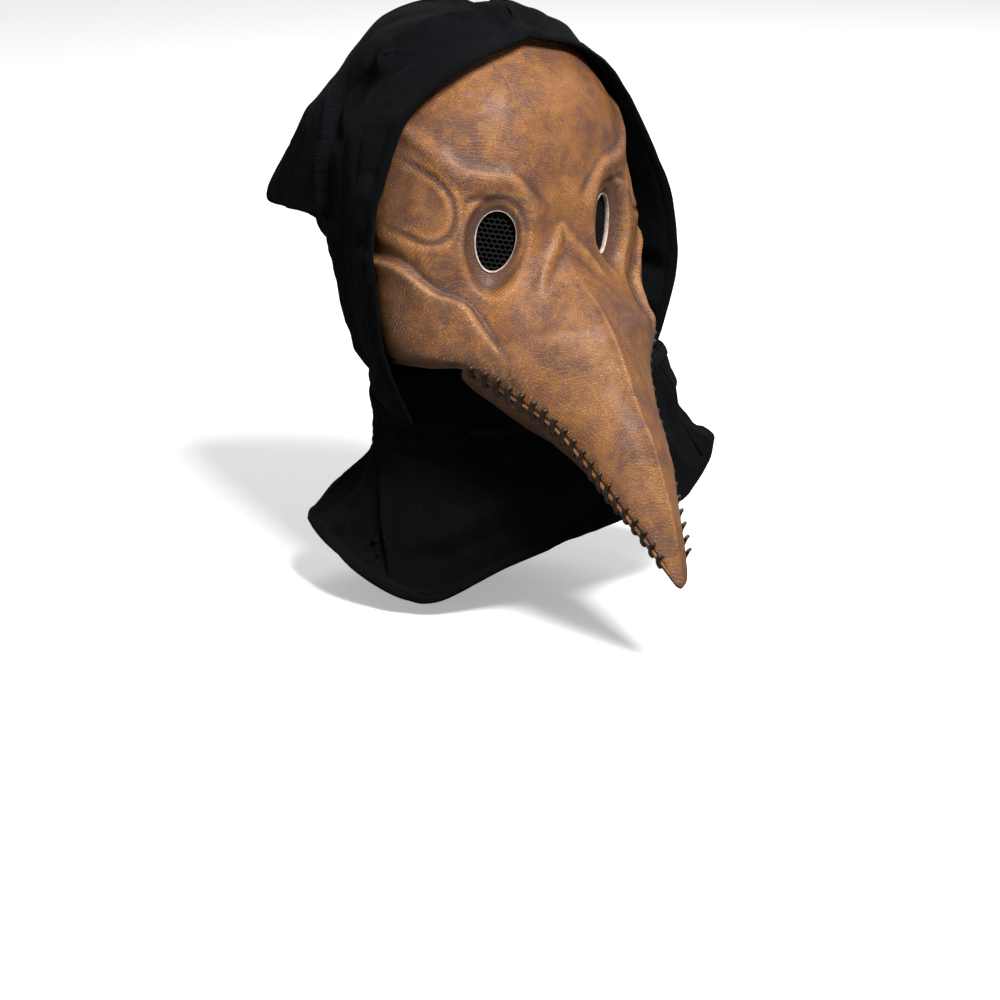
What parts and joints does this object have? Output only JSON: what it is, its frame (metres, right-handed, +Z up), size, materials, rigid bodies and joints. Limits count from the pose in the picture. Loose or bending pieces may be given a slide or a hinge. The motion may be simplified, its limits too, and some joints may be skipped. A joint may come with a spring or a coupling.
{
  "type": "hooded plague doctor mask",
  "caption": "Long-beaked plague doctor face mask with laced beak seams, meshed eye holes, head strap, and an attached cloth hood and cowl.",
  "frame": {"origin": "centre of the wearer's head at eye level", "axes": "+Z up, -Y the way the mask faces, +X the wearer's left"},
  "size_m": [0.2556, 0.4291, 0.3973],
  "materials": {
    "mask_leather": "matte, antiqued",
    "lace_cord": "waxed cord",
    "eye_mesh": "matt",
    "cut_edge": "matt",
    "foam": "open-cell foam",
    "rivet_metal": "aged",
    "tab_leather": "satin",
    "elastic": "woven elastic",
    "slider_plastic": "satin",
    "hood_knit": "brushed knit",
    "hood_hem": "folded knit",
    "binding": "woven tape",
    "cowl_knit": "ribbed knit"
  },
  "bodies": {
    "mask": {"mask_shell": "mask_leather", "lower_beak": "mask_leather", "lace_right": "lace_cord", "lace_left": "lace_cord", "eye_mesh_right": "eye_mesh", "eye_mesh_left": "eye_mesh", "eye_rim_right": "cut_edge", "eye_rim_left": "cut_edge", "forehead_pad": "foam", "cheek_pad_right": "foam", "cheek_pad_left": "foam", "rivet_right": "rivet_metal", "rivet_left": "rivet_metal", "rivet_cap_right": "rivet_metal", "rivet_cap_left": "rivet_metal", "hood_right": "hood_knit", "hood_left": "hood_knit", "hood_hem_right": "hood_hem", "hood_hem_left": "hood_hem", "hood_seam_tape": "binding", "bond_tape_right": "binding", "bond_tape_left": "binding", "neck_binding": "binding", "cowl_front": "cowl_knit", "cowl_back": "cowl_knit", "cowl_hem": "hood_hem"},
    "strap": {"strap_tab_right": "tab_leather", "strap_tab_left": "tab_leather", "strap_right": "elastic", "strap_left": "elastic"},
    "slider": {"strap_slider": "slider_plastic"}
  },
  "joints": [
    {"name": "strap_swing", "type": "hinge", "parent": "mask", "child": "strap", "pos_m": [0, -0.038, 0.02], "axis": [1, 0, 0], "range_deg": [-8, 5]},
    {"name": "slider_travel", "type": "hinge", "parent": "strap", "child": "slider", "pos_m": [0, 0.026, 0.02], "axis": [0, 0, 1], "range_deg": [-20, 20]}
  ]
}
